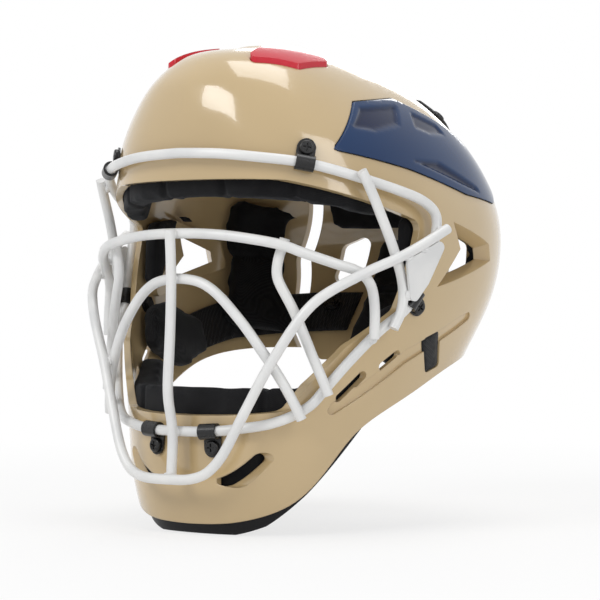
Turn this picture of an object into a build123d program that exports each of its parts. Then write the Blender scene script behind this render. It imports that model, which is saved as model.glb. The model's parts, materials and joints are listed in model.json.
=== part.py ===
from build123d import *
from math import atan2, cos, degrees, pi, radians, sin, sqrt, tan
import os

# Catcher helmet with a wire face cage and a floating back plate.
# Millimetres, +Z up as worn. The helmet faces -Y and the wearer's left is +X.
# The origin is the centre of the head cavity, level with the ears.

# Driving sizes of the shell
CROWN_HEIGHT = 147.5
HALF_WIDTH = 112.0
REACH = 120.0
WALL = 4.0
SEAT_GAP = 0.3
OVERRUN = 30.0

# Corners of the face opening and of other large outlines
OPENING_CORNER = 6.0

# Vent panels and crown caps, set in pockets of the shell
PANEL_PROUD = 1.0
PANEL_SUNK = 1.2
PANEL_GAP = 0.4
CAP_PROUD = 2.5

# Ear windows
WINDOW_DEPTH = 9.0
WINDOW_LIP = 4.0

# Cage wire, its plates and its clips
WIRE = 6.0
PLATE_THICK = 1.8
CLIP_WIDTH = 11.0
CLIP_THICK = 1.2
CLIP_AIR = 0.45
WIRE_STAND = 5.1
WELD = 0.1
CLIP_TAB = 15.0
SCREW_EDGE = 5.6
SCREW = 4.8
SCREW_HEAD = 8.6
SCREW_HEAD_HIGH = 2.4
HOLE_CLEARANCE = 0.4
NUT_FLANGE = 11.0
NUT_HIGH = 1.6
NUT_HEX = 8.0
NUT_HEX_HIGH = 2.4
NUT_AIR = 0.5
SEAT_SHARE = 0.95

# Pads, straps and back plate
PAD_THICK = 12.0
BROW_PAD_THICK = 14.0
CHIN_PAD_THICK = 16.0
SKIRT_THICK = 6.0
STRAP_WIDTH = 20.0
STRAP_THICK = 2.0
REAR_GAP = 8.0
POCKET_AIR = 0.8
POCKET_DEEP = 7.0
STRAP_END = 9.0

# Places of the shell's level sections: height, then half width, the line of greatest
# width, the front, the rear and the squareness of the front half, as shares.
REAR_SQUARENESS = 2.15
section_shares = [
    (0.995, 0.17, -0.35, -0.52, -0.20, 2.00),
    (0.965, 0.30, -0.30, -0.76, -0.03, 2.10),
    (0.930, 0.405, -0.25, -0.89, 0.12, 2.20),
    (0.880, 0.51, -0.20, -0.96, 0.27, 2.30),
    (0.820, 0.61, -0.13, -1.01, 0.41, 2.35),
    (0.750, 0.705, -0.06, -1.035, 0.54, 2.40),
    (0.660, 0.80, 0.00, -1.05, 0.66, 2.45),
    (0.570, 0.87, 0.04, -1.05, 0.78, 2.50),
    (0.460, 0.93, 0.075, -1.035, 0.89, 2.50),
    (0.330, 0.98, 0.10, -1.015, 0.97, 2.50),
    (0.170, 1.00, 0.10, -0.995, 0.98, 2.50),
    (0.000, 0.99, 0.08, -0.99, 0.89, 2.50),
    (-0.130, 0.955, 0.05, -0.995, 0.77, 2.45),
    (-0.260, 0.90, 0.00, -1.005, 0.66, 2.40),
    (-0.400, 0.85, -0.08, -1.02, 0.55, 2.32),
    (-0.530, 0.79, -0.17, -1.03, 0.42, 2.32),
    (-0.660, 0.73, -0.25, -1.035, 0.25, 2.38),
    (-0.800, 0.665, -0.30, -1.03, 0.08, 2.45),
    (-0.940, 0.59, -0.33, -1.00, -0.05, 2.50),
    (-1.080, 0.51, -0.36, -0.96, -0.15, 2.50),
]
RING_POINTS = 12
EASE = 0.6

# Outlines seen from the side, as shares of REACH and CROWN_HEIGHT
opening_shares = [(-1.30, 0.45), (-0.90, 0.425), (-0.315, 0.268), (-0.345, 0.19), (-0.45, -0.08),
                  (-0.66, -0.215), (-0.80, -0.37), (-0.86, -0.47), (-1.30, -0.53)]
lower_edge_shares = [(-1.04, -0.93), (-0.95, -0.90), (-0.82, -0.84), (-0.67, -0.69), (-0.55, -0.56),
                     (-0.39, -0.475), (-0.21, -0.405), (0.00, -0.33), (0.25, -0.275), (0.60, -0.26)]
panel_shares = [(-0.73, 0.545), (-0.50, 0.745), (-0.18, 0.775), (0.08, 0.70), (0.36, 0.60),
                (0.56, 0.46), (0.42, 0.36), (0.09, 0.39), (-0.33, 0.48)]
window_shares = [(-0.07, 0.28), (0.285, 0.195), (0.31, 0.12), (-0.22, 0.0), (-0.015, 0.165)]
window_hole_shares = [(0.0, 0.215), (0.215, 0.165), (0.225, 0.13), (-0.10, 0.065), (0.03, 0.145)]
slot_shares = [(-0.23, -0.195), (-0.115, -0.16), (-0.045, -0.305), (-0.155, -0.335)]
channel_shares = [(0.30, -0.05), (0.04, -0.105), (-0.33, -0.235), (-0.70, -0.44), (-0.74, -0.515),
                  (-0.32, -0.29), (0.04, -0.155)]
cheek_vent_shares = [((-0.39, -0.255), (-0.465, -0.30)), ((-0.57, -0.335), (-0.665, -0.42))]
CHEEK_VENT_HIGH = 5.0
chin_vent_shares = ((-0.93, -0.655), (-0.99, -0.745))
CHIN_VENT_HIGH = 7.0

# Pads seen from the side
brow_pad_shares = [(-1.30, 0.375), (-0.88, 0.35), (-0.45, 0.27), (-0.40, 0.46), (-0.60, 0.66), (-1.30, 0.70)]
temple_pad_shares = [(-0.34, 0.30), (0.10, 0.34), (0.02, 0.245), (-0.12, 0.22), (-0.27, -0.02), (-0.37, 0.03)]
ear_pad_shares = [(0.33, 0.42), (0.64, 0.36), (0.60, 0.06), (0.52, -0.20), (0.24, -0.17), (0.33, 0.05)]
jaw_pad_shares = [(-0.42, -0.06), (-0.24, -0.03), (0.06, -0.12), (0.05, -0.27), (-0.20, -0.35), (-0.52, -0.24)]
chin_pad_shares = [(-1.30, -0.375), (-0.72, -0.375), (-0.58, -0.265), (-0.50, -0.31), (-0.70, -0.56),
                   (-0.86, -0.74), (-1.30, -0.80)]
skirt_shares = [(-1.30, -0.89), (-0.97, -0.89), (-0.83, -0.81), (-0.50, -0.505), (-0.47, -0.53),
                (-0.72, -0.80), (-0.85, -0.925), (-0.92, -0.96), (-1.30, -0.96)]
side_strap_shares = [(-0.13, -0.15), (0.30, -0.055), (0.75, -0.01), (0.90, -0.01), (0.90, -0.17),
                     (0.75, -0.17), (0.30, -0.215), (-0.13, -0.31)]

# Outline of the left crown cap seen from above, as shares of HALF_WIDTH and REACH
cap_shares = [(0.26, -0.86), (0.445, -0.66), (0.465, -0.42), (0.19, -0.52)]

# Outline of the back plate seen from behind, as shares of HALF_WIDTH and CROWN_HEIGHT
plate_shares = [(0.28, 0.54), (0.50, 0.43), (0.60, 0.14), (0.53, -0.14), (0.36, -0.31)]
crown_pad_shares = [(0.30, -0.62), (0.42, -0.30), (0.42, 0.20), (0.25, 0.42)]
nape_pad_shares = [(0.18, 0.24), (0.18, -0.27)]
plate_top_pad_shares = [(0.26, 0.50), (0.44, 0.42), (0.47, 0.27)]
plate_vent_shares = [(0.26, 0.26), (0.44, 0.20), (0.46, 0.04), (0.30, 0.02)]


def share_rows():
    """Sections from the chin up, in millimetres."""
    rows = []
    for height, half, middle, front, rear, square in reversed(section_shares):
        rows.append((height * CROWN_HEIGHT, half * HALF_WIDTH, middle * REACH, front * REACH, rear * REACH, square))
    return rows


ROWS = share_rows()


def slope(index, column):
    """Change of a column with height at one section."""
    low = max(index - 1, 0)
    high = min(index + 1, len(ROWS) - 1)
    return (ROWS[high][column] - ROWS[low][column]) / (ROWS[high][0] - ROWS[low][0])


def row_at(height):
    """The section's values at any height, smooth between the listed ones."""
    index = 0
    while index < len(ROWS) - 2 and ROWS[index + 1][0] < height:
        index += 1
    span = ROWS[index + 1][0] - ROWS[index][0]
    part = (height - ROWS[index][0]) / span
    values = []
    for column in range(1, 6):
        start, end = ROWS[index][column], ROWS[index + 1][column]
        lead, trail = slope(index, column) * span, slope(index + 1, column) * span
        cubic = (2 * part**3 - 3 * part**2 + 1) * start + (part**3 - 2 * part**2 + part) * lead
        cubic += (3 * part**2 - 2 * part**3) * end + (part**3 - part**2) * trail
        values.append(cubic)
    return values


def half_width_at(y, z):
    """Half width of the shell's outside at a point seen from the side."""
    half, middle, front, rear, square = row_at(z)
    if y < middle:
        part, power = (middle - y) / (middle - front), square
    else:
        part, power = (y - middle) / (rear - middle), REAR_SQUARENESS
    return half * max(1 - min(part, 1) ** power, 0) ** (1 / power)


def ring_points(row, grow):
    """Points of one level section, moved outwards by grow along the shell's normal."""
    index = ROWS.index(row)
    height, half, middle, front, rear, square = row
    lean = slope(index, 1)
    length = sqrt(1 + lean * lean)
    rise = -lean / length * grow
    front_lean, rear_lean = slope(index, 3), slope(index, 4)
    half += grow / length
    front -= grow / sqrt(1 + front_lean**2)
    rear += grow / sqrt(1 + rear_lean**2)
    points = []
    for step in range(RING_POINTS + 1):
        turn = pi * step / RING_POINTS
        ahead, aside = cos(turn), max(sin(turn), 0)
        power, depth = (square, middle - front) if ahead > 0 else (REAR_SQUARENESS, rear - middle)
        x = half * aside ** (2 / power)
        y = depth * abs(ahead) ** (2 / power)
        points.append((x, middle - (y if ahead > 0 else -y), height + rise))
    return points


def form(grow):
    """The left half of the helmet's closed outside, grown or shrunk by one distance."""
    rings = []
    for row in ROWS:
        points = ring_points(row, grow)
        curve = Spline(*points, tangents=[(1, 0, 0), (-1, 0, 0)], tangent_scalars=[EASE, EASE])
        rings.append(Wire([curve, Line(points[-1], points[0])]))
    return Solid.make_loft(rings)


def side_points(shares):
    return [(y * REACH, z * CROWN_HEIGHT) for y, z in shares]


def side_prism(points, near=-HALF_WIDTH - OVERRUN, far=HALF_WIDTH + OVERRUN, round_off=0, grow=0):
    """A prism along X over an outline seen from the side."""
    outline = make_face(Polyline(*points, close=True))
    if round_off:
        outline = fillet(outline.vertices(), round_off)
    if grow:
        outline = offset(outline, grow)
    return extrude(Plane.YZ.offset(near) * outline, far - near)


forms = {}


def grown(distance):
    """The form at one distance from the shell's outside, made once."""
    key = round(distance, 3)
    if key not in forms:
        forms[key] = form(distance)
    return forms[key]


def skin(near, far, prism):
    """What a prism cuts from the layer between two distances from the outside."""
    return (prism & grown(far)) - grown(near)


def unit(vector):
    return vector * (1 / vector.length)


STEP = WALL / 4


def shell_point(turn, height):
    """A point of the outside at a turn from the front, in degrees, and a height."""
    half, middle, front, rear, square = row_at(height)
    ahead, aside = cos(radians(turn)), sin(radians(turn))
    power, depth = (square, middle - front) if ahead > 0 else (REAR_SQUARENESS, rear - middle)
    x = half * abs(aside) ** (2 / power)
    y = depth * abs(ahead) ** (2 / power)
    return Vector(x if aside > 0 else -x, middle - (y if ahead > 0 else -y), height)


def spot(turn, share, away=0):
    """A plane on the shell, its Z axis the outward normal and its X axis level.

    The turn is in degrees from the front towards the wearer's left, and the share is of
    the crown's height."""
    height = share * CROWN_HEIGHT
    across = shell_point(turn + 1, height) - shell_point(turn - 1, height)
    up = shell_point(turn, height + STEP) - shell_point(turn, height - STEP)
    normal = unit(across.cross(up))
    return Plane(origin=shell_point(turn, height) + normal * away, x_dir=unit(across), z_dir=normal)


def mirrored(points):
    """An outline's right half joined to its mirror image, in order."""
    return points + [(-x, z) for x, z in reversed(points)]


def rear_points(shares):
    return [(x * HALF_WIDTH, z * CROWN_HEIGHT) for x, z in shares]


def rear_prism(points, round_off=0, grow=0):
    """A prism along Y behind the head's centre, over an outline seen from behind."""
    outline = make_face(Polyline(*points, close=True))
    if round_off:
        outline = fillet(outline.vertices(), round_off)
    if grow:
        outline = offset(outline, grow)
    outline = Plane.XZ.offset(-REACH / 5) * outline
    return extrude(outline, REACH + OVERRUN, dir=(0, 1, 0))


def top_prism(points, round_off=0, grow=0, low=CROWN_HEIGHT / 2):
    """A prism along Z over an outline seen from above."""
    outline = make_face(Polyline(*points, close=True))
    if round_off:
        outline = fillet(outline.vertices(), round_off)
    if grow:
        outline = offset(outline, grow)
    return extrude(Plane.XY.offset(low) * outline, CROWN_HEIGHT + OVERRUN - low)


def slit(start, end, high):
    """A slanting slot outline seen from the side, with round ends."""
    (y0, z0), (y1, z1) = start, end
    middle = ((y0 + y1) / 2, (z0 + z1) / 2)
    length = sqrt((y1 - y0) ** 2 + (z1 - z0) ** 2) + high
    turn = degrees(atan2(z1 - z0, y1 - y0))
    return Pos(*middle) * Rot(0, 0, turn) * SlotOverall(length, high)


def window_cut():
    """The ear window: steep walls from a wide outside to a smaller hole inside."""
    depth = HALF_WIDTH - 1.5 * WINDOW_DEPTH
    wide = Plane.YZ.offset(HALF_WIDTH) * make_face(Polyline(*side_points(window_shares), close=True))
    narrow = Plane.YZ.offset(depth) * make_face(Polyline(*side_points(window_hole_shares), close=True))
    throat = loft([narrow, wide])
    return throat + extrude(wide, OVERRUN) + extrude(narrow, -OVERRUN)


# Clips that hold the cage: where each grips the rim wire and where its screw sits, as
# turns and height shares
clip_shares = {
    "brow": ((38, 0.49), (38, 0.554)),
    "side": ((69.4, -0.035), (74.4, -0.035)),
    "chin": ((10.5, -0.553), (10.5, -0.62)),
}

# Screws of the straps, as turns and height shares
knob_share = (134, 0.72)
plate_top_share = (163, 0.48)
plate_side_share = (157, -0.09)


def clip_plane(name):
    """The clip's own plane: origin on the wire, X along it and Y along the tab."""
    wire, hole = clip_shares[name]
    first, second = spot(*wire, WIRE_STAND), spot(*hole, WIRE_STAND)
    nearest = min(range(RIM_STEPS), key=lambda step: (RIM_LINE @ (step / RIM_STEPS) - first.origin).length)
    origin, along = RIM_LINE @ (nearest / RIM_STEPS), unit(RIM_LINE % (nearest / RIM_STEPS))
    normal = first.z_dir + second.z_dir
    normal = unit(normal - along * along.dot(normal))
    if along.cross(normal).dot(second.origin - first.origin) > 0:
        along = -along
    return Plane(origin=origin, x_dir=along, z_dir=normal)


def moved(plane, x, y, z):
    """The same plane with its origin at a place given in its own directions."""
    return Plane(origin=plane.from_local_coords((x, y, z)), x_dir=plane.x_dir, z_dir=plane.z_dir)


def screw_plane(name):
    """The screw's plane: origin on the tab's outer face, Z outward."""
    return moved(clip_plane(name), 0, CLIP_TAB - SCREW_EDGE, -WIRE_STAND + CLIP_THICK + SEAT_GAP)


def depth_below(plane):
    """How far the shell's outside lies under a plane's origin, along its Z axis."""
    low, high = -WALL, 3 * WALL
    for step in range(RING_POINTS + RING_POINTS):
        middle = (low + high) / 2
        point = plane.origin - plane.z_dir * middle
        inside = point.X < half_width_at(point.Y, point.Z)
        low, high = (low, middle) if inside else (middle, high)
    return low


def seat_of(plane):
    """A spot face for a nut, cut into the wall's inside on a screw's axis."""
    depth = depth_below(plane) + WALL * SEAT_SHARE
    seat = Cylinder(NUT_FLANGE / 2 + HOLE_CLEARANCE, 2 * WALL, align=(Align.CENTER, Align.CENTER, Align.MAX))
    return plane * (Pos(0, 0, -depth) * seat)


def knob_plane():
    return spot(*knob_share, 2 * SEAT_GAP + STRAP_THICK)


def drilled(plane, size=SCREW + HOLE_CLEARANCE):
    return plane * Cylinder(size / 2, 8 * WALL)


def main_shell():
    shell = grown(0) - grown(-WALL)
    opening = side_prism(side_points(opening_shares), near=-WALL, round_off=OPENING_CORNER)
    boss = side_prism(side_points(window_shares), near=HALF_WIDTH / 2, grow=WINDOW_LIP)
    shell = shell + skin(-WINDOW_DEPTH, -WALL / 2, boss)
    edge = side_points(lower_edge_shares)
    first, last = edge[0], edge[-1]
    beyond = [(REACH + OVERRUN, last[1]), (REACH + OVERRUN, -CROWN_HEIGHT - OVERRUN),
              (-REACH - OVERRUN, -CROWN_HEIGHT - OVERRUN), (-REACH - OVERRUN, first[1])]
    line = Spline(*edge) + Polyline(last, *beyond, first)
    below = extrude(Plane.YZ.offset(-WALL) * make_face(line), HALF_WIDTH + OVERRUN)
    plate = mirrored(rear_points(plate_shares))
    behind = rear_prism(plate, round_off=OPENING_CORNER, grow=REAR_GAP)
    low_right = rear_points(plate_shares)[-1]
    foot = rear_prism(mirrored([(low_right[0] + REAR_GAP, low_right[1]), (low_right[0] + REAR_GAP, -CROWN_HEIGHT)]))
    cap = top_prism(cap_points(), round_off=OPENING_CORNER / 2, grow=PANEL_GAP)
    cuts = [opening, below, behind, foot, cap - grown(-PANEL_SUNK - SEAT_GAP), *side_cuts()]
    shell = shell.cut(*cuts)
    shell = shell + mirror(shell, Plane.YZ)
    return shell


def cap_points():
    return [(x * HALF_WIDTH, y * REACH) for x, y in cap_shares]


def side_cuts():
    """Everything cut out of the left wall."""
    pocket = side_prism(side_points(panel_shares), near=HALF_WIDTH / 5, round_off=OPENING_CORNER / 3, grow=PANEL_GAP)
    channel = side_prism(side_points(channel_shares), near=0, round_off=CHEEK_VENT_HIGH / 2)
    cuts = [pocket - grown(-PANEL_SUNK - SEAT_GAP), channel - grown(-PANEL_SUNK - SEAT_GAP), window_cut()]
    cuts.append(side_prism(side_points(slot_shares), near=0, round_off=CHEEK_VENT_HIGH / 2))
    for start, end in cheek_vent_shares:
        outline = slit(*side_points([start, end]), CHEEK_VENT_HIGH)
        cuts.append(extrude(Plane.YZ * outline, HALF_WIDTH + OVERRUN))
    outline = slit(*side_points(chin_vent_shares), CHIN_VENT_HIGH)
    cuts.append(extrude(Plane.YZ.offset(HALF_WIDTH / 5) * outline, HALF_WIDTH + OVERRUN))
    for plane in [*(screw_plane(name) for name in clip_shares), knob_plane()]:
        cuts += [drilled(plane), seat_of(plane)]
    return cuts


def vent_panel():
    outline = side_prism(side_points(panel_shares), near=HALF_WIDTH / 5, round_off=OPENING_CORNER / 3)
    return skin(-PANEL_SUNK, PANEL_PROUD, outline)


def crown_cap():
    return skin(-PANEL_SUNK, CAP_PROUD, top_prism(cap_points(), round_off=OPENING_CORNER / 2))


# The cage's wire routes from the middle to the wearer's left, each mirrored for the right.
# A place is a turn from the front in degrees, a share of the crown's height and a layer:
# 1 lies on the shell, and each layer more lies on the one before.
rim_shares = [(0, 0.54, 1), (12, 0.532, 1), (22, 0.517, 1), (38, 0.49, 1), (54, 0.43, 1), (72, 0.345, 1.4),
              (76, 0.28, 1.4), (69.5, -0.04, 1), (59, -0.16, 1), (53, -0.27, 1), (48, -0.37, 1), (44, -0.455, 1),
              (34, -0.515, 1), (21, -0.54, 1), (10.5, -0.553, 1), (0, -0.555, 1)]
eye_shares = [(0, 0.23, 2), (8, 0.225, 2), (16, 0.21, 2), (27, 0.18, 2.09), (34, 0.14, 1.72), (42, 0.105, 1.2),
              (51, 0.07, 1), (55, 0.01, 1), (57, -0.175, 1.96)]
middle_shares = [(0, 0.25, 3), (0, 0.0, 3), (0, -0.40, 3), (0, -0.56, 1.87), (0, -0.72, 2.06)]
guard_shares = [(0, -0.735, 3), (9, -0.73, 3), (15, -0.70, 3), (20, -0.62, 3), (24, -0.47, 3), (28, -0.29, 3),
                (33, -0.11, 3), (38, -0.02, 2.7), (51, 0.07, 1.94), (62, 0.13, 2.0), (76, 0.235, 2.42)]
arch_shares = [(0, 0.05, 2), (7, 0.02, 2), (17, -0.12, 2), (23, -0.21, 2), (32, -0.34, 2), (42, -0.495, 2)]
inner_bar_shares = [(28, 0.20, 1), (25.5, 0.11, 1), (25.5, 0.04, 1), (32, -0.09, 1), (37, -0.19, 1.2),
                    (48, -0.40, 2.1)]
outer_bar_shares = [(53, 0.445, 2.2), (57, 0.30, 1.25), (61, 0.16, 1), (64.5, 0.03, 1.1), (64, -0.06, 1.8),
                    (62, -0.135, 2.08)]
side_plate_shares = [(77, 0.215, 2.3), (63, 0.115, 2.14), (66, -0.06, 2.14), (71, 0.03, 2.0)]


def place(share):
    turn, height, layer = share
    return spot(turn, height, WIRE_STAND + (layer - 1) * (WIRE + WELD)).origin


def rounded(shares, close=False):
    """A route with its corners cut, so that the wire bends smoothly."""
    ends = shares[1:] + shares[:1] if close else shares[1:]
    nearer = []
    for first, last in zip(shares, ends):
        nearer.append(tuple((3 * a + b) / 4 for a, b in zip(first, last)))
        nearer.append(tuple((a + 3 * b) / 4 for a, b in zip(first, last)))
    return [shares[0], *nearer] if close else [shares[0], *nearer, shares[-1]]


def across(shares, close=False):
    """A left half route joined to its mirror image."""
    right = [(-turn, height, layer) for turn, height, layer in reversed(shares) if turn > 0]
    return shares + right if close else right + shares


def wire_line(shares, close=False):
    return Spline(*[place(share) for share in rounded(shares, close)], periodic=close)


def tube(line):
    return sweep(Plane(origin=line @ 0, z_dir=line % 0) * Circle(WIRE / 2), path=line)


def wire_tube(shares):
    """A round wire along a smooth line through a route's places."""
    return tube(wire_line(shares))


def mirrored_wire(shares, close=False):
    """A wire that crosses the middle, from the left half of its route."""
    line = wire_line(across(shares, close), close)
    return whole(tube(line.trim(0, 1 / 2) if close else line.trim(1 / 2, 1)))


RIM_LINE = wire_line(across(rim_shares, close=True), close=True)
RIM_STEPS = 1500


def side_plate():
    """The flat plate welded between the guard wire and the outer bar."""
    corners = [place(share) for share in side_plate_shares]
    normal = unit((corners[1] - corners[0]).cross(corners[2] - corners[0]))
    if normal.X < 0:
        normal = -normal
    flat = Plane(origin=corners[0], x_dir=unit(corners[1] - corners[0]), z_dir=normal)
    outline = [flat.to_local_coords(corner) for corner in corners]
    face = make_face(Polyline(*[(p.X, p.Y) for p in outline], close=True))
    face = fillet(face.vertices(), 2 * PLATE_THICK)
    return flat.offset(-PLATE_THICK / 2) * extrude(face, PLATE_THICK)


def clip(name):
    """A strap bent round the wire, with a tab that its screw holds to the shell."""
    low = -WIRE_STAND + SEAT_GAP
    hollow = WIRE / 2 + CLIP_AIR
    tab = Pos(CLIP_TAB / 2, low + CLIP_THICK / 2) * Rectangle(CLIP_TAB, CLIP_THICK)
    profile = Circle(hollow + CLIP_THICK) + tab - Circle(hollow)
    body = extrude(Plane.YZ * profile, CLIP_WIDTH / 2, both=True)
    hole = Pos(0, CLIP_TAB - SCREW_EDGE, 0) * Cylinder(SCREW / 2 + CLIP_AIR, 4 * WIRE)
    corner = Pos(0, CLIP_TAB - CLIP_WIDTH / 2, 0) * Cylinder(CLIP_WIDTH / 2, 4 * WIRE)
    square = Pos(0, CLIP_TAB, 0) * Box(2 * CLIP_WIDTH, CLIP_WIDTH, 4 * WIRE)
    return clip_plane(name) * (body - hole - (square - corner))


def screw(plane, length):
    """A pan-head screw with a cross recess; the plane's origin is under its head."""
    head = Cylinder(SCREW_HEAD / 2, SCREW_HEAD_HIGH, align=(Align.CENTER, Align.CENTER, Align.MIN))
    head = fillet(head.edges().sort_by(Axis.Z)[-1], SCREW_HEAD_HIGH / 2)
    cross = Box(SCREW, SCREW / 5, SCREW_HEAD_HIGH) + Box(SCREW / 5, SCREW, SCREW_HEAD_HIGH)
    shank = Cylinder(SCREW / 2, length, align=(Align.CENTER, Align.CENTER, Align.MAX))
    return plane * (head - Pos(0, 0, SCREW_HEAD_HIGH) * cross + shank)


def nut(plane, depth):
    """A flanged nut at a depth under a plane, screwed on from inside."""
    flange = Cylinder(NUT_FLANGE / 2, NUT_HIGH, align=(Align.CENTER, Align.CENTER, Align.MAX))
    body = extrude(RegularPolygon(NUT_HEX / 2, 6, major_radius=False), -NUT_HIGH - NUT_HEX_HIGH)
    hole = Cylinder(SCREW / 2 + CLIP_AIR, 4 * (NUT_HIGH + NUT_HEX_HIGH))
    return plane * (Pos(0, 0, -depth) * (flange + body - hole))


def pair_up(pieces):
    """A group of separate pieces and their mirror images."""
    return Compound(children=pieces + [mirror(piece, Plane.YZ) for piece in pieces])


def wall_fastening(plane):
    """The screw and the nut that clamp something to the wall."""
    depth = depth_below(plane) + WALL * SEAT_SHARE
    return screw(plane, depth + NUT_HIGH + NUT_HEX_HIGH), nut(plane, depth)


def pad(prism, thick, lift=0):
    """A pad that lies on the shell's inside under an outline."""
    back = -WALL - SEAT_GAP - lift
    return skin(back - thick, back, prism)


def nut_pockets(shape, names):
    """Room for the nuts in a pad's back."""
    for name in names:
        plane = screw_plane(name)
        reach = Cylinder(NUT_FLANGE / 2 + POCKET_AIR, 2 * POCKET_DEEP)
        shape -= plane * (Pos(0, 0, -depth_below(plane) - WALL) * reach)
    return shape


def whole(half):
    """A piece and its mirror image across the middle, joined."""
    return half + mirror(half, Plane.YZ)


def middle_pad(shares, thick, names):
    """A pad across the middle of the front, under an outline seen from the side."""
    outline = side_prism(side_points(shares), near=-WALL, round_off=OPENING_CORNER)
    return whole(nut_pockets(pad(outline, thick), names))


def side_pad(shares, lift, names=()):
    """A pad on the left wall, clear of the ear window's lip."""
    outline = side_prism(side_points(shares), near=HALF_WIDTH / 4, round_off=OPENING_CORNER)
    lip = side_prism(side_points(window_shares), near=0, grow=WINDOW_LIP + 2 * SEAT_GAP)
    return nut_pockets(pad(outline, PAD_THICK, lift), names) - lip


def crown_pad():
    outline = mirrored([(x * HALF_WIDTH, y * REACH) for x, y in crown_pad_shares])
    return whole(pad(top_prism(outline, round_off=OPENING_CORNER), PAD_THICK))


def chin_skirt():
    return whole(pad(side_prism(side_points(skirt_shares), near=-WALL), SKIRT_THICK))


def back_plate():
    """The floating plate behind the head: a curved wall with two vents."""
    outline = rear_prism(mirrored(rear_points(plate_shares)), round_off=OPENING_CORNER)
    half = skin(-WALL, 0, outline)
    vent = rear_prism(rear_points(plate_vent_shares), round_off=CHEEK_VENT_HIGH)
    return whole(half.cut(vent, drilled(spot(*plate_top_share)), drilled(spot(*plate_side_share))))


def plate_pad(shares):
    """A pad on the inside of the back plate."""
    outline = rear_prism(mirrored(rear_points(shares)), round_off=OPENING_CORNER)
    back = -WALL - SEAT_GAP
    return whole(skin(back - PAD_THICK, back, outline))


def side_strap():
    """Elastic webbing inside the wall, from the slot to the plate, with its end block."""
    low = -WALL - SEAT_GAP
    band = side_prism(side_points(side_strap_shares), near=HALF_WIDTH / 4)
    plug = side_prism(side_points(slot_shares), near=0, round_off=CHEEK_VENT_HIGH / 2, grow=-SEAT_GAP)
    strap = skin(low - STRAP_THICK, low, band) + skin(low - STRAP_THICK / 2, -WALL / 4, plug)
    return strap - drilled(spot(*plate_side_share))


def upper_strap():
    """Elastic webbing outside, from the knob on the shell to the plate's top."""
    top, foot = spot(*knob_share).origin, spot(*plate_top_share).origin
    x, z = top.X - foot.X, top.Z - foot.Z
    length = sqrt(x**2 + z**2)
    x, z = x / length, z / length
    aside = STRAP_WIDTH / 2
    ends = ((top, STRAP_END, 1), (top, STRAP_END, -1), (foot, -STRAP_END, -1), (foot, -STRAP_END, 1))
    points = [(p.X + along * x + side * aside * z, p.Z + along * z - side * aside * x) for p, along, side in ends]
    strap = skin(SEAT_GAP, SEAT_GAP + STRAP_THICK, rear_prism(points, round_off=2 * STRAP_THICK))
    return strap.cut(drilled(spot(*knob_share)), drilled(spot(*plate_top_share)))


nodes = {"main_shell": main_shell()}
nodes["rim_wire"] = mirrored_wire(rim_shares, close=True)
nodes["eye_wire"] = mirrored_wire(eye_shares)
nodes["guard_wire"] = mirrored_wire(guard_shares)
nodes["arch_wire"] = mirrored_wire(arch_shares)
nodes["middle_wire"] = wire_tube(middle_shares)
nodes["brow_pad"] = middle_pad(brow_pad_shares, BROW_PAD_THICK, ["brow"])
nodes["crown_pad"] = crown_pad()
nodes["chin_pad"] = middle_pad(chin_pad_shares, CHIN_PAD_THICK, ["chin"])
nodes["chin_skirt"] = chin_skirt()
nodes["back_plate"] = back_plate()
nodes["nape_pad"] = plate_pad(nape_pad_shares)
nodes["plate_top_pad"] = plate_pad(plate_top_pad_shares)

# Pieces that come as a left and a right one
sided = {
    "vent_panel": vent_panel(),
    "crown_cap": crown_cap(),
    "inner_bar": wire_tube(inner_bar_shares),
    "outer_bar": wire_tube(outer_bar_shares),
    "side_plate": side_plate(),
    "temple_pad": side_pad(temple_pad_shares, 0),
    "ear_pad": side_pad(ear_pad_shares, STRAP_THICK + SEAT_GAP),
    "jaw_pad": side_pad(jaw_pad_shares, STRAP_THICK + SEAT_GAP, ["side"]),
    "side_strap": side_strap(),
    "upper_strap": upper_strap(),
}
for name in clip_shares:
    sided[name + "_clip"] = clip(name)
for name, piece in sided.items():
    nodes["left_" + name] = piece
    nodes["right_" + name] = mirror(piece, Plane.YZ)

# Screws and nuts, each kind a group of separate pieces
clip_sets = [wall_fastening(screw_plane(name)) for name in clip_shares]
nodes["clip_screws"] = pair_up([pieces[0] for pieces in clip_sets])
nodes["clip_nuts"] = pair_up([pieces[1] for pieces in clip_sets])
knob, knob_nut = wall_fastening(knob_plane())
nodes["knob_screws"] = pair_up([knob])
nodes["knob_nuts"] = pair_up([knob_nut])
side_depth = SEAT_GAP + WALL + SEAT_GAP + STRAP_THICK + NUT_AIR
nodes["plate_screws"] = pair_up([
    screw(spot(*plate_top_share, 2 * SEAT_GAP + STRAP_THICK), 2 * SEAT_GAP + STRAP_THICK + WALL / 2),
    screw(spot(*plate_side_share, SEAT_GAP), side_depth + NUT_HIGH + NUT_HEX_HIGH),
])
nodes["plate_nuts"] = pair_up([nut(spot(*plate_side_share, SEAT_GAP), side_depth)])

os.makedirs("parts", exist_ok=True)
for name, shape in nodes.items():
    export_step(shape, os.path.join("parts", name + ".step"))
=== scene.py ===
import bmesh
import bpy
import json
import math
import numpy
from mathutils import Matrix, Vector, geometry, noise
from mathutils.bvhtree import BVHTree


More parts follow.
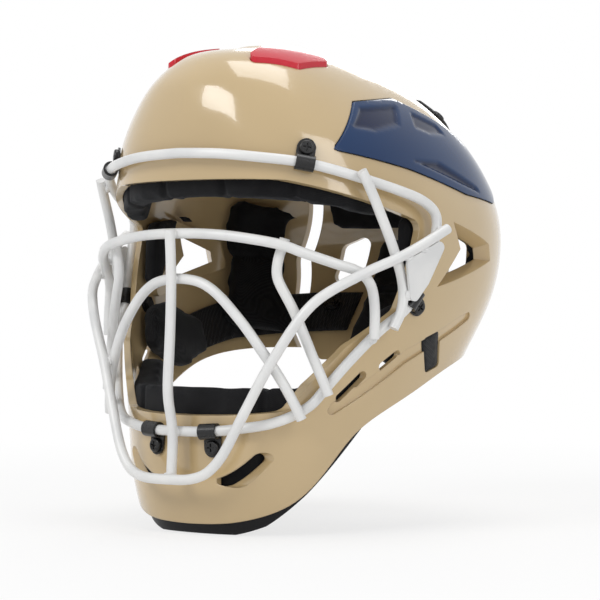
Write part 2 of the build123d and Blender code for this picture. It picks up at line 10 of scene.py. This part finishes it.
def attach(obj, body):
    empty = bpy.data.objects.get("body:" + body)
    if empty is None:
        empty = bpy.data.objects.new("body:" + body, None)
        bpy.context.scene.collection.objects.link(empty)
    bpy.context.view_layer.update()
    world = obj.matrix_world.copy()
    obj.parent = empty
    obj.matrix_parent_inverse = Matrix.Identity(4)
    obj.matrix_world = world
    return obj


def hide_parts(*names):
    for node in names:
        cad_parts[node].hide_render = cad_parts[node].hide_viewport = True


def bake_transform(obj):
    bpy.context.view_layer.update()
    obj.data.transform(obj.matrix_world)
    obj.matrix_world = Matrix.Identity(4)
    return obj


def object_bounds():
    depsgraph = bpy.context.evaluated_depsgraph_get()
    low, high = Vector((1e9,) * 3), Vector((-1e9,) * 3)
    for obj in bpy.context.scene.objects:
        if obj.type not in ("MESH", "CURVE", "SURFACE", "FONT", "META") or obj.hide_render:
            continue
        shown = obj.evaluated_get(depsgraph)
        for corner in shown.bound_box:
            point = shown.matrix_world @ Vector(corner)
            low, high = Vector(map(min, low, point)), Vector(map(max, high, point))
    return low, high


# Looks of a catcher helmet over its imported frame. Metres, +Z up as worn; the helmet faces
# -Y, the wearer's left is +X and the origin is the centre of the head cavity.

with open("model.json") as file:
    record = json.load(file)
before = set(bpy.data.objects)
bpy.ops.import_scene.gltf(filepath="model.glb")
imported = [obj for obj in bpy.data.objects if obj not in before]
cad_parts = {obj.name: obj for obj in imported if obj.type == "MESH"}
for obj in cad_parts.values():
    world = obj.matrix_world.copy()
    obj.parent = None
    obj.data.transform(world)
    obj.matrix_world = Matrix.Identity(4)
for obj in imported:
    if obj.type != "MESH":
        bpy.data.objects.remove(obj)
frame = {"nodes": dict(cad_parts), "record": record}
NODES = frame["nodes"]
cad_box = [list(corner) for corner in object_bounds()]
scene = bpy.context.scene
SHELL, REAR = "helmet", "rear_plate"
SIDES = {"left": 1, "right": -1}


# Helpers for materials

BEVEL_SAMPLES = 6


def new_material(name, color, rough, coat=0.0, coat_rough=0.05, sheen=0.0, specular=0.5):
    material = bpy.data.materials.new(name)
    material.use_nodes = True
    shader = material.node_tree.nodes["Principled BSDF"]
    shader.inputs["Base Color"].default_value = (*color, 1)
    shader.inputs["Roughness"].default_value = rough
    shader.inputs["Coat Weight"].default_value = coat
    shader.inputs["Coat Roughness"].default_value = coat_rough
    shader.inputs["Sheen Weight"].default_value = sheen
    shader.inputs["Specular IOR Level"].default_value = specular
    material.diffuse_color = (*color, 1)
    return material, shader


def add(material, kind, **settings):
    node = material.node_tree.nodes.new(kind)
    for key, value in settings.items():
        setattr(node, key, value)
    return node


def link(material, source, target):
    material.node_tree.links.new(source, target)


def noise_texture(material, scale, detail=3.0, rough=0.5):
    """Noise in the row frame, in metres."""
    where = add(material, "ShaderNodeTexCoord")
    texture = add(material, "ShaderNodeTexNoise")
    texture.inputs["Scale"].default_value = scale
    texture.inputs["Detail"].default_value = detail
    texture.inputs["Roughness"].default_value = rough
    link(material, where.outputs["Object"], texture.inputs["Vector"])
    return texture.outputs["Fac"]


def ramp(material, source, low, high, start, end):
    """Turns a value from start..end into low..high."""
    node = add(material, "ShaderNodeMapRange")
    for name, value in (("From Min", start), ("From Max", end), ("To Min", low), ("To Max", high)):
        node.inputs[name].default_value = value
    link(material, source, node.inputs["Value"])
    return node.outputs["Result"]


def mix_color(material, factor, first, second):
    """Mixes two colours; the first may also be the output of another node."""
    node = add(material, "ShaderNodeMix", data_type="RGBA")
    link(material, factor, node.inputs["Factor"])
    if isinstance(first, tuple):
        node.inputs[6].default_value = (*first, 1)
    else:
        link(material, first, node.inputs[6])
    node.inputs[7].default_value = (*second, 1)
    return node.outputs[2]


def bump(material, shader, height, distance, strength, under=None):
    node = add(material, "ShaderNodeBump")
    node.inputs["Strength"].default_value = strength
    node.inputs["Distance"].default_value = distance
    link(material, height, node.inputs["Height"])
    if under is not None:
        link(material, under, node.inputs["Normal"])
    link(material, node.outputs["Normal"], shader.inputs["Normal"])


def soft_edges(material, radius):
    node = add(material, "ShaderNodeBevel", samples=BEVEL_SAMPLES)
    node.inputs["Radius"].default_value = radius
    return node.outputs["Normal"]


def grained(material, shader, grain, tones, tone_range, rough_range, depth, strength, edge):
    """Tone, roughness and bump from one fine grain, over softened edges."""
    tone = mix_color(material, ramp(material, grain, 0, 1, *tone_range), *tones)
    link(material, tone, shader.inputs["Base Color"])
    link(material, ramp(material, grain, *rough_range, 0.3, 0.7), shader.inputs["Roughness"])
    bump(material, shader, grain, depth, strength, soft_edges(material, edge))


def lacquer(name, color, deep, rough=0.16, coat=0.7, specular=0.5, recess=None):
    """Glossy paint with a clear coat, faint unevenness and rounded edges.

    A painted shade colour darkens the paint where a piece's recess attribute says that it lies deep in a
    recess, standing in for the shade that falls there."""
    material, shader = new_material(name, color, rough, coat=coat, coat_rough=0.03, specular=specular)
    wide = noise_texture(material, scale=9.0, detail=2.0)
    tone = mix_color(material, ramp(material, wide, 0, 1, 0.35, 0.65), color, deep)
    # Painted shade: deep in a recess the tone turns to the given recess colour, a darker paint in place of
    # shade.
    if recess is not None:
        depth = add(material, "ShaderNodeAttribute", attribute_name="recess")
        tone = mix_color(material, depth.outputs["Fac"], tone, recess)
    link(material, tone, shader.inputs["Base Color"])
    marks = noise_texture(material, scale=420.0, detail=4.0, rough=0.7)
    worn = ramp(material, marks, rough * 0.8, rough * 1.35, 0.35, 0.7)
    link(material, worn, shader.inputs["Roughness"])
    peel = noise_texture(material, scale=700.0, detail=1.0)
    bump(material, shader, peel, 0.00002, 0.6, soft_edges(material, 0.0009))
    return material


def powder_coat():
    """White powder coating on wire: fine grain and a slightly greyed tone."""
    material, shader = new_material("cage_coating", (0.80, 0.80, 0.79), 0.32, coat=0.15, coat_rough=0.2)
    wide = ramp(material, noise_texture(material, scale=40.0), 0, 1, 0.35, 0.65)
    tone = mix_color(material, wide, (0.83, 0.83, 0.82), (0.74, 0.745, 0.745))
    link(material, tone, shader.inputs["Base Color"])
    grain = noise_texture(material, scale=1500.0, rough=0.6)
    link(material, ramp(material, grain, 0.26, 0.42, 0.3, 0.7), shader.inputs["Roughness"])
    bump(material, shader, grain, 0.00006, 0.5, soft_edges(material, 0.0005))
    return material


def black_metal():
    """Satin black over steel."""
    material, shader = new_material("black_steel", (0.008, 0.008, 0.009), 0.3, coat=0.15,
                                    coat_rough=0.15, specular=0.35)
    grain = noise_texture(material, scale=900.0, detail=4.0, rough=0.65)
    grained(material, shader, grain, tones=((0.006, 0.006, 0.007), (0.016, 0.016, 0.016)),
            tone_range=(0.45, 0.75), rough_range=(0.22, 0.45), depth=0.00004, strength=0.5, edge=0.0004)
    return material


def moulded_rubber():
    """Dull black rubber with a fine grain."""
    material, shader = new_material("skirt_rubber", (0.006, 0.006, 0.007), 0.45, specular=0.22)
    grain = noise_texture(material, scale=1100.0, detail=4.0, rough=0.7)
    grained(material, shader, grain, tones=((0.005, 0.005, 0.006), (0.011, 0.011, 0.012)),
            tone_range=(0.4, 0.7), rough_range=(0.34, 0.55), depth=0.00005, strength=0.6, edge=0.0012)
    return material


WEAVE_TURNS = (0.5, 0.3, 0.8), (0.3, -0.5, -0.8)
WEAVE_WAVE = {"Distortion": 1.2, "Detail": 1.0, "Detail Scale": 2.0}
WEAVE_STRENGTH = 0.7


def weave(material, scale, distance, shader):
    """Crossed ribs of thread, in the row frame."""
    where = add(material, "ShaderNodeTexCoord")
    crossed = add(material, "ShaderNodeMath", operation="MULTIPLY")
    for index, turn in enumerate(WEAVE_TURNS):
        turned = add(material, "ShaderNodeVectorRotate", rotation_type="EULER_XYZ")
        turned.inputs["Rotation"].default_value = turn
        link(material, where.outputs["Object"], turned.inputs["Vector"])
        wave = add(material, "ShaderNodeTexWave")
        wave.inputs["Scale"].default_value = scale
        for name, value in WEAVE_WAVE.items():
            wave.inputs[name].default_value = value
        link(material, turned.outputs["Vector"], wave.inputs["Vector"])
        link(material, wave.outputs["Fac"], crossed.inputs[index])
    height = crossed.outputs[0]
    bump(material, shader, height, distance, WEAVE_STRENGTH)
    return height


def pad_cloth():
    """Black brushed mesh cloth with a soft sheen."""
    material, shader = new_material("pad_cloth", (0.007, 0.007, 0.008), 0.82, sheen=0.18, specular=0.2)
    shader.inputs["Sheen Roughness"].default_value = 0.45
    shader.inputs["Sheen Tint"].default_value = (0.5, 0.52, 0.56, 1)
    height = weave(material, 520.0, 0.00025, shader)
    tone = mix_color(material, height, (0.004, 0.004, 0.005), (0.013, 0.013, 0.014))
    link(material, tone, shader.inputs["Base Color"])
    fuzz = noise_texture(material, scale=60.0, detail=4.0, rough=0.6)
    link(material, ramp(material, fuzz, 0.7, 0.95, 0.3, 0.7), shader.inputs["Roughness"])
    return material


def webbing():
    """Black elastic webbing with narrow ribs."""
    material, shader = new_material("strap_webbing", (0.008, 0.008, 0.009), 0.7, sheen=0.15, specular=0.25)
    height = weave(material, 300.0, 0.0004, shader)
    tone = mix_color(material, height, (0.005, 0.005, 0.006), (0.016, 0.016, 0.017))
    link(material, tone, shader.inputs["Base Color"])
    return material


GOLD, GOLD_DEEP = (0.585, 0.435, 0.235), (0.535, 0.395, 0.208)
# NAVY_PAINTED_SHADE is painted shade: a darker navy that the panel recesses get where shade falls in them.
NAVY, NAVY_DEEP, NAVY_PAINTED_SHADE = (0.005, 0.038, 0.125), (0.004, 0.030, 0.105), (0.001, 0.009, 0.048)
SCARLET, SCARLET_DEEP = (0.66, 0.004, 0.024), (0.56, 0.003, 0.020)
MATERIALS = {
    "shell_lacquer": lacquer("shell_lacquer", GOLD, GOLD_DEEP),
    "panel_lacquer": lacquer("panel_lacquer", NAVY, NAVY_DEEP, rough=0.13, coat=0.35, specular=0.2,
                             recess=NAVY_PAINTED_SHADE),
    "cap_lacquer": lacquer("cap_lacquer", SCARLET, SCARLET_DEEP, coat=0.4, specular=0.3),
    "cage_coating": powder_coat(),
    "clip_plastic": black_metal(),
    "black_steel": black_metal(),
    "skirt_rubber": moulded_rubber(),
    "strap_webbing": webbing(),
    "pad_cloth": pad_cloth(),
}
SLOT_OF = {row["node"]: row["material_slot"] for row in frame["record"]["subparts"]}


def dress(obj, slot):
    obj.data.materials.clear()
    obj.data.materials.append(MATERIALS[slot])


for name, node in NODES.items():
    dress(node, SLOT_OF[name])


# Helpers for the pieces built over the frame

SHARED_CORNER = 0.00001


def share(value):
    """A value held between zero and one."""
    return max(0.0, min(1.0, value))


def new_object(name, data):
    obj = bpy.data.objects.new(name, data)
    scene.collection.objects.link(obj)
    return obj


def copy_of(name, new_name):
    """A new object with a CAD node's mesh, joined at shared corners."""
    mesh = NODES[name].data.copy()
    mesh.name = new_name
    shape = bmesh.new()
    shape.from_mesh(mesh)
    bmesh.ops.remove_doubles(shape, verts=shape.verts, dist=SHARED_CORNER)
    shape.to_mesh(mesh)
    shape.free()
    mesh.materials.clear()
    return new_object(new_name, mesh)


def tree_of(name):
    mesh = NODES[name].data
    return BVHTree.FromPolygons([v.co for v in mesh.vertices], [p.vertices for p in mesh.polygons])


def settle(obj):
    """Replaces the object's mesh with what its modifiers make of it."""
    graph = bpy.context.evaluated_depsgraph_get()
    graph.update()
    mesh = bpy.data.meshes.new_from_object(obj.evaluated_get(graph))
    obj.modifiers.clear()
    obj.data = mesh


def smooth(obj):
    obj.data.shade_smooth()


# Cushions in place of the CAD pads

VOXEL, CROWN_VOXEL = 0.004, 0.005
RELAX_FACTOR, RELAX_TURNS = 0.5, 2
PAD_INSET = 0.0012
SWELL_CAP = 0.0035
SWELL_FRAMES = 20
CLOTH_SETTINGS = {
    "quality": 5,
    "mass": 0.3,
    "tension_stiffness": 12,
    "compression_stiffness": 12,
    "shear_stiffness": 5,
    "bending_stiffness": 0.5,
    "use_pressure": True,
    "uniform_pressure_force": 4.0,
}
CHANNEL_WIDTH, CHANNEL_DEPTH = 0.003, 0.0018
CHIN_LOW, CHIN_LOW_REACH, CHIN_DROP = -0.090, 0.015, 0.006
CHIN_REAR, CHIN_REAR_REACH, CHIN_REARWARD, CHIN_OUTWARD = -0.084, 0.016, 0.010, 0.0045


def push(obj, distance):
    """Moves every point along its normal."""
    normals = [v.normal.copy() for v in obj.data.vertices]
    for vertex, normal in zip(obj.data.vertices, normals):
        vertex.co += normal * distance


def inflate(obj):
    """Swells a closed mesh as stuffed cloth, with a cap on how far each point moves."""
    start = [v.co.copy() for v in obj.data.vertices]
    cloth = obj.modifiers.new("Cloth", "CLOTH")
    for name, value in CLOTH_SETTINGS.items():
        setattr(cloth.settings, name, value)
    cloth.settings.effector_weights.gravity = 0
    for step in range(1, SWELL_FRAMES + 1):
        scene.frame_set(step)
    settle(obj)
    scene.frame_set(1)
    for vertex, place in zip(obj.data.vertices, start):
        moved = vertex.co - place
        if moved.length > SWELL_CAP:
            vertex.co = place + moved * (SWELL_CAP / moved.length)


def channel(obj, point, normal):
    """A sewn groove where a plane crosses the pad: points near it draw in."""
    point, normal = Vector(point), Vector(normal)
    normals = [v.normal.copy() for v in obj.data.vertices]
    for vertex, outward in zip(obj.data.vertices, normals):
        away = abs((vertex.co - point).dot(normal)) / CHANNEL_WIDTH
        if away < 1:
            vertex.co -= outward * CHANNEL_DEPTH * (1 - away * away) ** 2


def upright(x):
    """The plane of a channel that runs up and down."""
    return (x, 0, 0), (1, 0, 0)


def level(z):
    """The plane of a channel that runs level."""
    return (0, 0, z), (0, 0, 1)


def cushion(node, body, channels=(), voxel=VOXEL):
    """A padded piece in place of a CAD pad."""
    obj = copy_of(node, node + "_cushion")
    remesh = obj.modifiers.new("Remesh", "REMESH")
    remesh.mode = "VOXEL"
    remesh.voxel_size = voxel
    settle(obj)
    relax = obj.modifiers.new("Relax", "SMOOTH")
    relax.factor = RELAX_FACTOR
    relax.iterations = RELAX_TURNS
    settle(obj)
    push(obj, -PAD_INSET)
    inflate(obj)
    finer = obj.modifiers.new("Finer", "SUBSURF")
    finer.levels = finer.render_levels = 1
    settle(obj)
    for point, normal in channels:
        channel(obj, point, normal)
    smooth(obj)
    dress(obj, "pad_cloth")
    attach(obj, body)
    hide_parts(node)
    return obj


def reach_behind_vents(obj):
    """Takes the chin cushion down and rearward, behind the chin and cheek vents."""
    for vertex in obj.data.vertices:
        vertex.co.z -= CHIN_DROP * share((CHIN_LOW - vertex.co.z) / CHIN_LOW_REACH)
        rearward = share((vertex.co.y - CHIN_REAR) / CHIN_REAR_REACH)
        vertex.co.y += CHIN_REARWARD * rearward
        vertex.co.x += math.copysign(CHIN_OUTWARD, vertex.co.x) * rearward


cushion("brow_pad", SHELL, [upright(x) for x in (-0.062, -0.022, 0.022, 0.062)])
cushion("crown_pad", SHELL, [upright(x) for x in (-0.014, 0.014)], CROWN_VOXEL)
reach_behind_vents(cushion("chin_pad", SHELL, [upright(x) for x in (-0.045, 0.045)]))
for side in SIDES:
    cushion(side + "_temple_pad", SHELL)
    cushion(side + "_ear_pad", SHELL, [level(0.022)])
    cushion(side + "_jaw_pad", SHELL)
cushion("nape_pad", REAR, [level(0.0)])
cushion("plate_top_pad", REAR, [upright(0.0)])


# Vent panels: the CAD panel's outline and curve, with the pressed recesses of the real one.
# Outlines are seen from the side, as y and z. A recess has its outline, its depth and the
# width of its sloping border.

PANEL_OUTLINE = [(-0.0876, 0.0804), (-0.0600, 0.1099), (-0.0216, 0.1143), (0.0096, 0.1032), (0.0432, 0.0885),
                 (0.0672, 0.0678), (0.0504, 0.0531), (0.0108, 0.0575), (-0.0396, 0.0708)]
FRONT_RECESS = [(-0.0735, 0.0935), (-0.0590, 0.1068), (-0.0225, 0.1105), (-0.0330, 0.0965), (-0.0560, 0.0915)]
TOP_RECESS = [(-0.0200, 0.0960), (-0.0140, 0.1070), (0.0080, 0.1000), (0.0120, 0.0930), (-0.0060, 0.0925)]
LOWER_RECESS = [(-0.0390, 0.0765), (-0.0100, 0.0760), (0.0260, 0.0625), (0.0300, 0.0580), (0.0080, 0.0630)]
PANEL_RECESSES = [
    (FRONT_RECESS, 0.0019, 0.0024),
    (TOP_RECESS, 0.0015, 0.0024),
    (LOWER_RECESS, 0.0019, 0.0020),
]
PANEL_THICK = 0.0022
PANEL_CORNER, CORNER_STEPS = 0.002, 4
PANEL_SPACING = 0.0013
EDGE_SPACINGS = 0.6
SAME_POINT = 1e-6
PANEL_SHARP = math.radians(50)
FIT_STEP, FIT_MARGIN, FIT_DEGREE = 0.004, 0.001, 6
RAY_START = 0.3


def inside_distance(point, outline):
    """Distance from a point to an outline, positive inside it."""
    point = Vector(point)
    nearest, crossings = 1.0, 0
    for first, last in zip(outline, outline[1:] + outline[:1]):
        a, b = Vector(first), Vector(last)
        part = share((point - a).dot(b - a) / (b - a).length_squared)
        nearest = min(nearest, (a + (b - a) * part - point).length)
        if (a.y > point.y) != (b.y > point.y):
            if point.x < a.x + (b.x - a.x) * (point.y - a.y) / (b.y - a.y):
                crossings += 1
    return nearest if crossings % 2 else -nearest


def limits(outline):
    """The least y and z of an outline, then the greatest."""
    ys, zs = zip(*outline)
    return min(ys), min(zs), max(ys), max(zs)


def fitted_side(node, outline, sign):
    """The outside of a side piece as a smooth function of y and z."""
    tree = tree_of(node)
    low_y, low_z, high_y, high_z = limits(outline)
    middle_y, middle_z = (low_y + high_y) / 2, (low_z + high_z) / 2
    half_y, half_z = (high_y - low_y) / 2, (high_z - low_z) / 2

    def terms(y, z):
        y, z = (y - middle_y) / half_y, (z - middle_z) / half_z
        return [y**i * z**j for i in range(FIT_DEGREE + 1) for j in range(FIT_DEGREE + 1 - i)]

    rows, values = [], []
    y = low_y
    while y < high_y:
        z = low_z
        while z < high_z:
            if inside_distance((y, z), outline) > FIT_MARGIN:
                hit = tree.ray_cast(Vector((sign * RAY_START, y, z)), Vector((-sign, 0, 0)))[0]
                if hit is not None:
                    rows.append(terms(y, z))
                    values.append(hit.x)
            z += FIT_STEP
        y += FIT_STEP
    factors = numpy.linalg.lstsq(numpy.array(rows), numpy.array(values), rcond=None)[0]
    return lambda y, z: float(numpy.dot(terms(y, z), factors))


def rounded_outline(outline):
    """The outline with each corner turned into a short curve."""
    points = []
    for index, corner in enumerate(outline):
        corner = Vector(corner)
        before, after = Vector(outline[index - 1]), Vector(outline[(index + 1) % len(outline)])
        start = corner + (before - corner).normalized() * PANEL_CORNER
        end = corner + (after - corner).normalized() * PANEL_CORNER
        for step in range(CORNER_STEPS + 1):
            part = step / CORNER_STEPS
            points.append((start * (1 - part) ** 2 + corner * 2 * part * (1 - part) + end * part**2)[:])
    return points


def divided(outline, longest):
    """The outline with points added, so that no side is longer than a length."""
    points = []
    for first, last in zip(outline, outline[1:] + outline[:1]):
        a, b = Vector(first), Vector(last)
        count = max(1, math.ceil((b - a).length / longest))
        points += [(a + (b - a) * step / count)[:] for step in range(count)]
    return points


def filled(edge, spacing):
    """Points and triangles of an even net inside an outline."""
    points = list(edge)
    low_y, low_z, high_y, high_z = limits(edge)
    for i in range(int((high_y - low_y) / spacing)):
        for j in range(int((high_z - low_z) / spacing)):
            point = (low_y + (i + 0.5 * (j % 2)) * spacing, low_z + j * spacing)
            if inside_distance(point, edge) > spacing * EDGE_SPACINGS:
                points.append(point)
    made = geometry.delaunay_2d_cdt(
        [Vector(p) for p in points], [], [list(range(len(edge)))], 1, SAME_POINT)
    return made[0], made[2]


def pressed(point, surface, sign):
    """A point of the panel's outside, and how deep it lies in the recesses, from zero to one, which sets the
    painted shade there.
    """
    y, z = point
    x, deepest_shade = surface(y, z), 0.0
    for outline, depth, width in PANEL_RECESSES:
        part = share(inside_distance((y, z), outline) / width)
        x -= sign * depth * part * part * (3 - 2 * part)
        deepest_shade = max(deepest_shade, part)
    return (x, y, z), deepest_shade


def pressed_panel(side, sign):
    """A thin panel with pressed recesses in place of a CAD panel."""
    node = side + "_vent_panel"
    surface = fitted_side(node, PANEL_OUTLINE, sign)
    flat, faces = filled(divided(rounded_outline(PANEL_OUTLINE), PANEL_SPACING), PANEL_SPACING)
    vertices, recess_shade_share = zip(*[pressed(point, surface, sign) for point in flat])
    mesh = bpy.data.meshes.new(node + "_pressed")
    mesh.from_pydata(vertices, [], faces)
    # The recess attribute is the mask of the painted shade: how deep each point lies in a recess.
    mesh.attributes.new("recess", "FLOAT", "POINT").data.foreach_set("value", recess_shade_share)
    shape = bmesh.new()
    shape.from_mesh(mesh)
    for item in bmesh.ops.extrude_face_region(shape, geom=shape.faces[:])["geom"]:
        if isinstance(item, bmesh.types.BMVert):
            item.co.x -= sign * PANEL_THICK
    bmesh.ops.recalc_face_normals(shape, faces=shape.faces[:])
    shape.to_mesh(mesh)
    shape.free()
    obj = new_object(node + "_pressed", mesh)
    smooth(obj)
    mesh.set_sharp_from_angle(angle=PANEL_SHARP)
    dress(obj, "panel_lacquer")
    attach(obj, SHELL)
    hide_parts(node)


for side, sign in SIDES.items():
    pressed_panel(side, sign)


# Weld beads where the cage's wires and plates touch

CAGE = ["rim_wire", "eye_wire", "guard_wire", "arch_wire", "middle_wire", "left_inner_bar", "right_inner_bar",
        "left_outer_bar", "right_outer_bar", "left_side_plate", "right_side_plate"]
BEAD_REACH = 0.0009
BEAD_APART = 0.012
BEAD_SIZE = (0.0031, 0.0027, 0.0016)
BEAD_SIDES, BEAD_RINGS = 20, 12
RIPPLE, RIPPLE_SCALE = 0.0003, 900
RIPPLE_SEED = 1


def weld_places():
    """Where two cage pieces lie against each other, with the direction between them."""
    trees = {name: tree_of(name) for name in CAGE}
    places = []
    for index, first in enumerate(CAGE):
        for second in CAGE[index + 1:]:
            found = []
            for vertex in NODES[first].data.vertices:
                spot, normal, _, gap = trees[second].find_nearest(vertex.co, BEAD_REACH)
                if spot is not None:
                    found.append((gap, (spot + vertex.co) / 2, normal))
            kept = []
            for _, place, normal in sorted(found, key=lambda item: item[0]):
                if all((place - other).length > BEAD_APART for other, _ in kept):
                    kept.append((place, normal))
            places += kept
    return places


def weld_beads():
    """Flattened beads with a slight ripple."""
    noise.seed_set(RIPPLE_SEED)
    shape = bmesh.new()
    for place, normal in weld_places():
        turn = normal.to_track_quat("Z", "X").to_matrix().to_4x4()
        matrix = Matrix.Translation(place) @ turn @ Matrix.Diagonal((*BEAD_SIZE, 1))
        bmesh.ops.create_uvsphere(shape, u_segments=BEAD_SIDES, v_segments=BEAD_RINGS, radius=1.0,
                                  matrix=matrix)
    for vertex in shape.verts:
        vertex.co += noise.noise_vector(vertex.co * RIPPLE_SCALE) * RIPPLE
    mesh = bpy.data.meshes.new("weld_beads")
    shape.to_mesh(mesh)
    shape.free()
    obj = new_object("weld_beads", mesh)
    smooth(obj)
    dress(obj, "cage_coating")
    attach(obj, SHELL)


weld_beads()


# Straps, which stretch between the shell and the back plate. Two points are given for each,
# for the wearer's left.

STRAP_EDGE, STRAP_DIVISIONS = 0.006, 3
STRAP_BENDS = {
    "_upper_strap": ((0.0435, 0.085, 0.0846), (0.038, 0.096, 0.0776)),
    "_side_strap": ((0.085, 0.060, -0.015), (0.060, 0.090, -0.015)),
}


def finer_edges(obj, longest):
    """Divides long edges so that the piece can bend."""
    shape = bmesh.new()
    shape.from_mesh(obj.data)
    for _ in range(STRAP_DIVISIONS):
        long_edges = [e for e in shape.edges if e.calc_length() > longest]
        if not long_edges:
            break
        bmesh.ops.subdivide_edges(shape, edges=long_edges, cuts=1)
    shape.to_mesh(obj.data)
    shape.free()


def strap(node):
    """Elastic webbing from the shell to the back plate, divided finer, in place of a CAD strap."""
    obj = copy_of(node, node + "_webbing")
    finer_edges(obj, STRAP_EDGE)
    smooth(obj)
    dress(obj, "strap_webbing")
    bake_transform(obj)
    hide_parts(node)


for side, sign in SIDES.items():
    for name, bend in STRAP_BENDS.items():
        strap(side + name)


# Stage: floor, light and camera

FLOOR_HALF, FLOOR_CLEARANCE = 12.0, 0.0005
FLOOR_COLOR = (0.93, 0.93, 0.93, 1)
FLOOR_FADE = {"From Min": 0.16, "From Max": 0.75, "To Min": 0.72, "To Max": 1.0}
WHITE = (1, 1, 1, 1)
WORLD_LIGHT, WORLD_SEEN = 0.36, 1.0
# name, place, size and power
LAMPS = [
    ("key", (-0.35, -1.75, 1.15), (1.0, 0.7), 15.0),
    ("side", (1.7, -0.5, 0.7), (0.7, 1.1), 8.0),
    ("top", (0.1, 0.1, 1.7), (0.9, 0.9), 9.0),
    ("back", (-0.8, 1.6, 0.9), (0.8, 0.8), 8.0),
]
CAMERA_TURN, CAMERA_AWAY = math.radians(36), 1.4
CAMERA_LENS, CAMERA_SENSOR = 134.4, 36
CAMERA_SHIFT = -10 / 600


def seen_rays(tree):
    """One for rays from the camera and for what gloss and glass show, else zero."""
    ray = tree.nodes.new("ShaderNodeLightPath")
    value = ray.outputs["Is Camera Ray"]
    for name in ("Is Glossy Ray", "Is Transmission Ray"):
        larger = tree.nodes.new("ShaderNodeMath")
        larger.operation = "MAXIMUM"
        tree.links.new(value, larger.inputs[0])
        tree.links.new(ray.outputs[name], larger.inputs[1])
        value = larger.outputs[0]
    return value


def floor_paper():
    """Pale paper that shows the shadow near the helmet and fades to white away from it."""
    material = bpy.data.materials.new("floor")
    material.use_nodes = True
    tree = material.node_tree
    tree.nodes.clear()
    output = tree.nodes.new("ShaderNodeOutputMaterial")
    paper = tree.nodes.new("ShaderNodeBsdfDiffuse")
    paper.inputs["Color"].default_value = FLOOR_COLOR
    glow = tree.nodes.new("ShaderNodeEmission")
    glow.inputs["Color"].default_value = WHITE
    where = tree.nodes.new("ShaderNodeTexCoord")
    away = tree.nodes.new("ShaderNodeVectorMath")
    away.operation = "LENGTH"
    tree.links.new(where.outputs["Object"], away.inputs[0])
    fade = tree.nodes.new("ShaderNodeMapRange")
    for name, value in FLOOR_FADE.items():
        fade.inputs[name].default_value = value
    tree.links.new(away.outputs["Value"], fade.inputs["Value"])
    white = tree.nodes.new("ShaderNodeMath")
    white.operation = "MULTIPLY"
    tree.links.new(seen_rays(tree), white.inputs[0])
    tree.links.new(fade.outputs["Result"], white.inputs[1])
    both = tree.nodes.new("ShaderNodeMixShader")
    tree.links.new(white.outputs[0], both.inputs[0])
    tree.links.new(paper.outputs[0], both.inputs[1])
    tree.links.new(glow.outputs[0], both.inputs[2])
    tree.links.new(both.outputs[0], output.inputs[0])
    return material


def make_floor():
    mesh = bpy.data.meshes.new("floor")
    half, low = FLOOR_HALF, cad_box[0][2] - FLOOR_CLEARANCE
    corners = [(-half, -half, low), (half, -half, low), (half, half, low), (-half, half, low)]
    mesh.from_pydata(corners, [], [(0, 1, 2, 3)])
    obj = new_object("floor", mesh)
    mesh.materials.append(floor_paper())


def make_world():
    """White for what the camera and reflections see, dimmer as a light."""
    world = bpy.data.worlds.new("studio")
    scene.world = world
    world.use_nodes = True
    tree = world.node_tree
    back = tree.nodes["Background"]
    back.inputs["Color"].default_value = WHITE
    strength = tree.nodes.new("ShaderNodeMapRange")
    strength.inputs["To Min"].default_value = WORLD_LIGHT
    strength.inputs["To Max"].default_value = WORLD_SEEN
    tree.links.new(seen_rays(tree), strength.inputs["Value"])
    tree.links.new(strength.outputs["Result"], back.inputs["Strength"])


def softbox(name, place, size, power):
    """A rectangular lamp that faces the helmet."""
    light = bpy.data.lights.new(name, "AREA")
    light.shape = "RECTANGLE"
    light.size, light.size_y = size
    light.energy = power
    obj = new_object(name, light)
    obj.location = place
    obj.rotation_mode = "QUATERNION"
    obj.rotation_quaternion = (-Vector(place)).to_track_quat("-Z", "Y")


def make_camera():
    """Level with the head cavity, to the wearer's left of straight ahead."""
    towards = Vector((math.sin(CAMERA_TURN), -math.cos(CAMERA_TURN), 0))
    data = bpy.data.cameras.new("camera")
    data.sensor_width = CAMERA_SENSOR
    data.lens = CAMERA_LENS
    data.shift_x = data.shift_y = CAMERA_SHIFT
    camera = new_object("camera", data)
    camera.location = towards * CAMERA_AWAY
    camera.rotation_mode = "QUATERNION"
    camera.rotation_quaternion = (-towards).to_track_quat("-Z", "Y")
    scene.camera = camera


make_floor()
make_world()
for lamp in LAMPS:
    softbox(*lamp)
make_camera()
scene.view_settings.view_transform = "Standard"
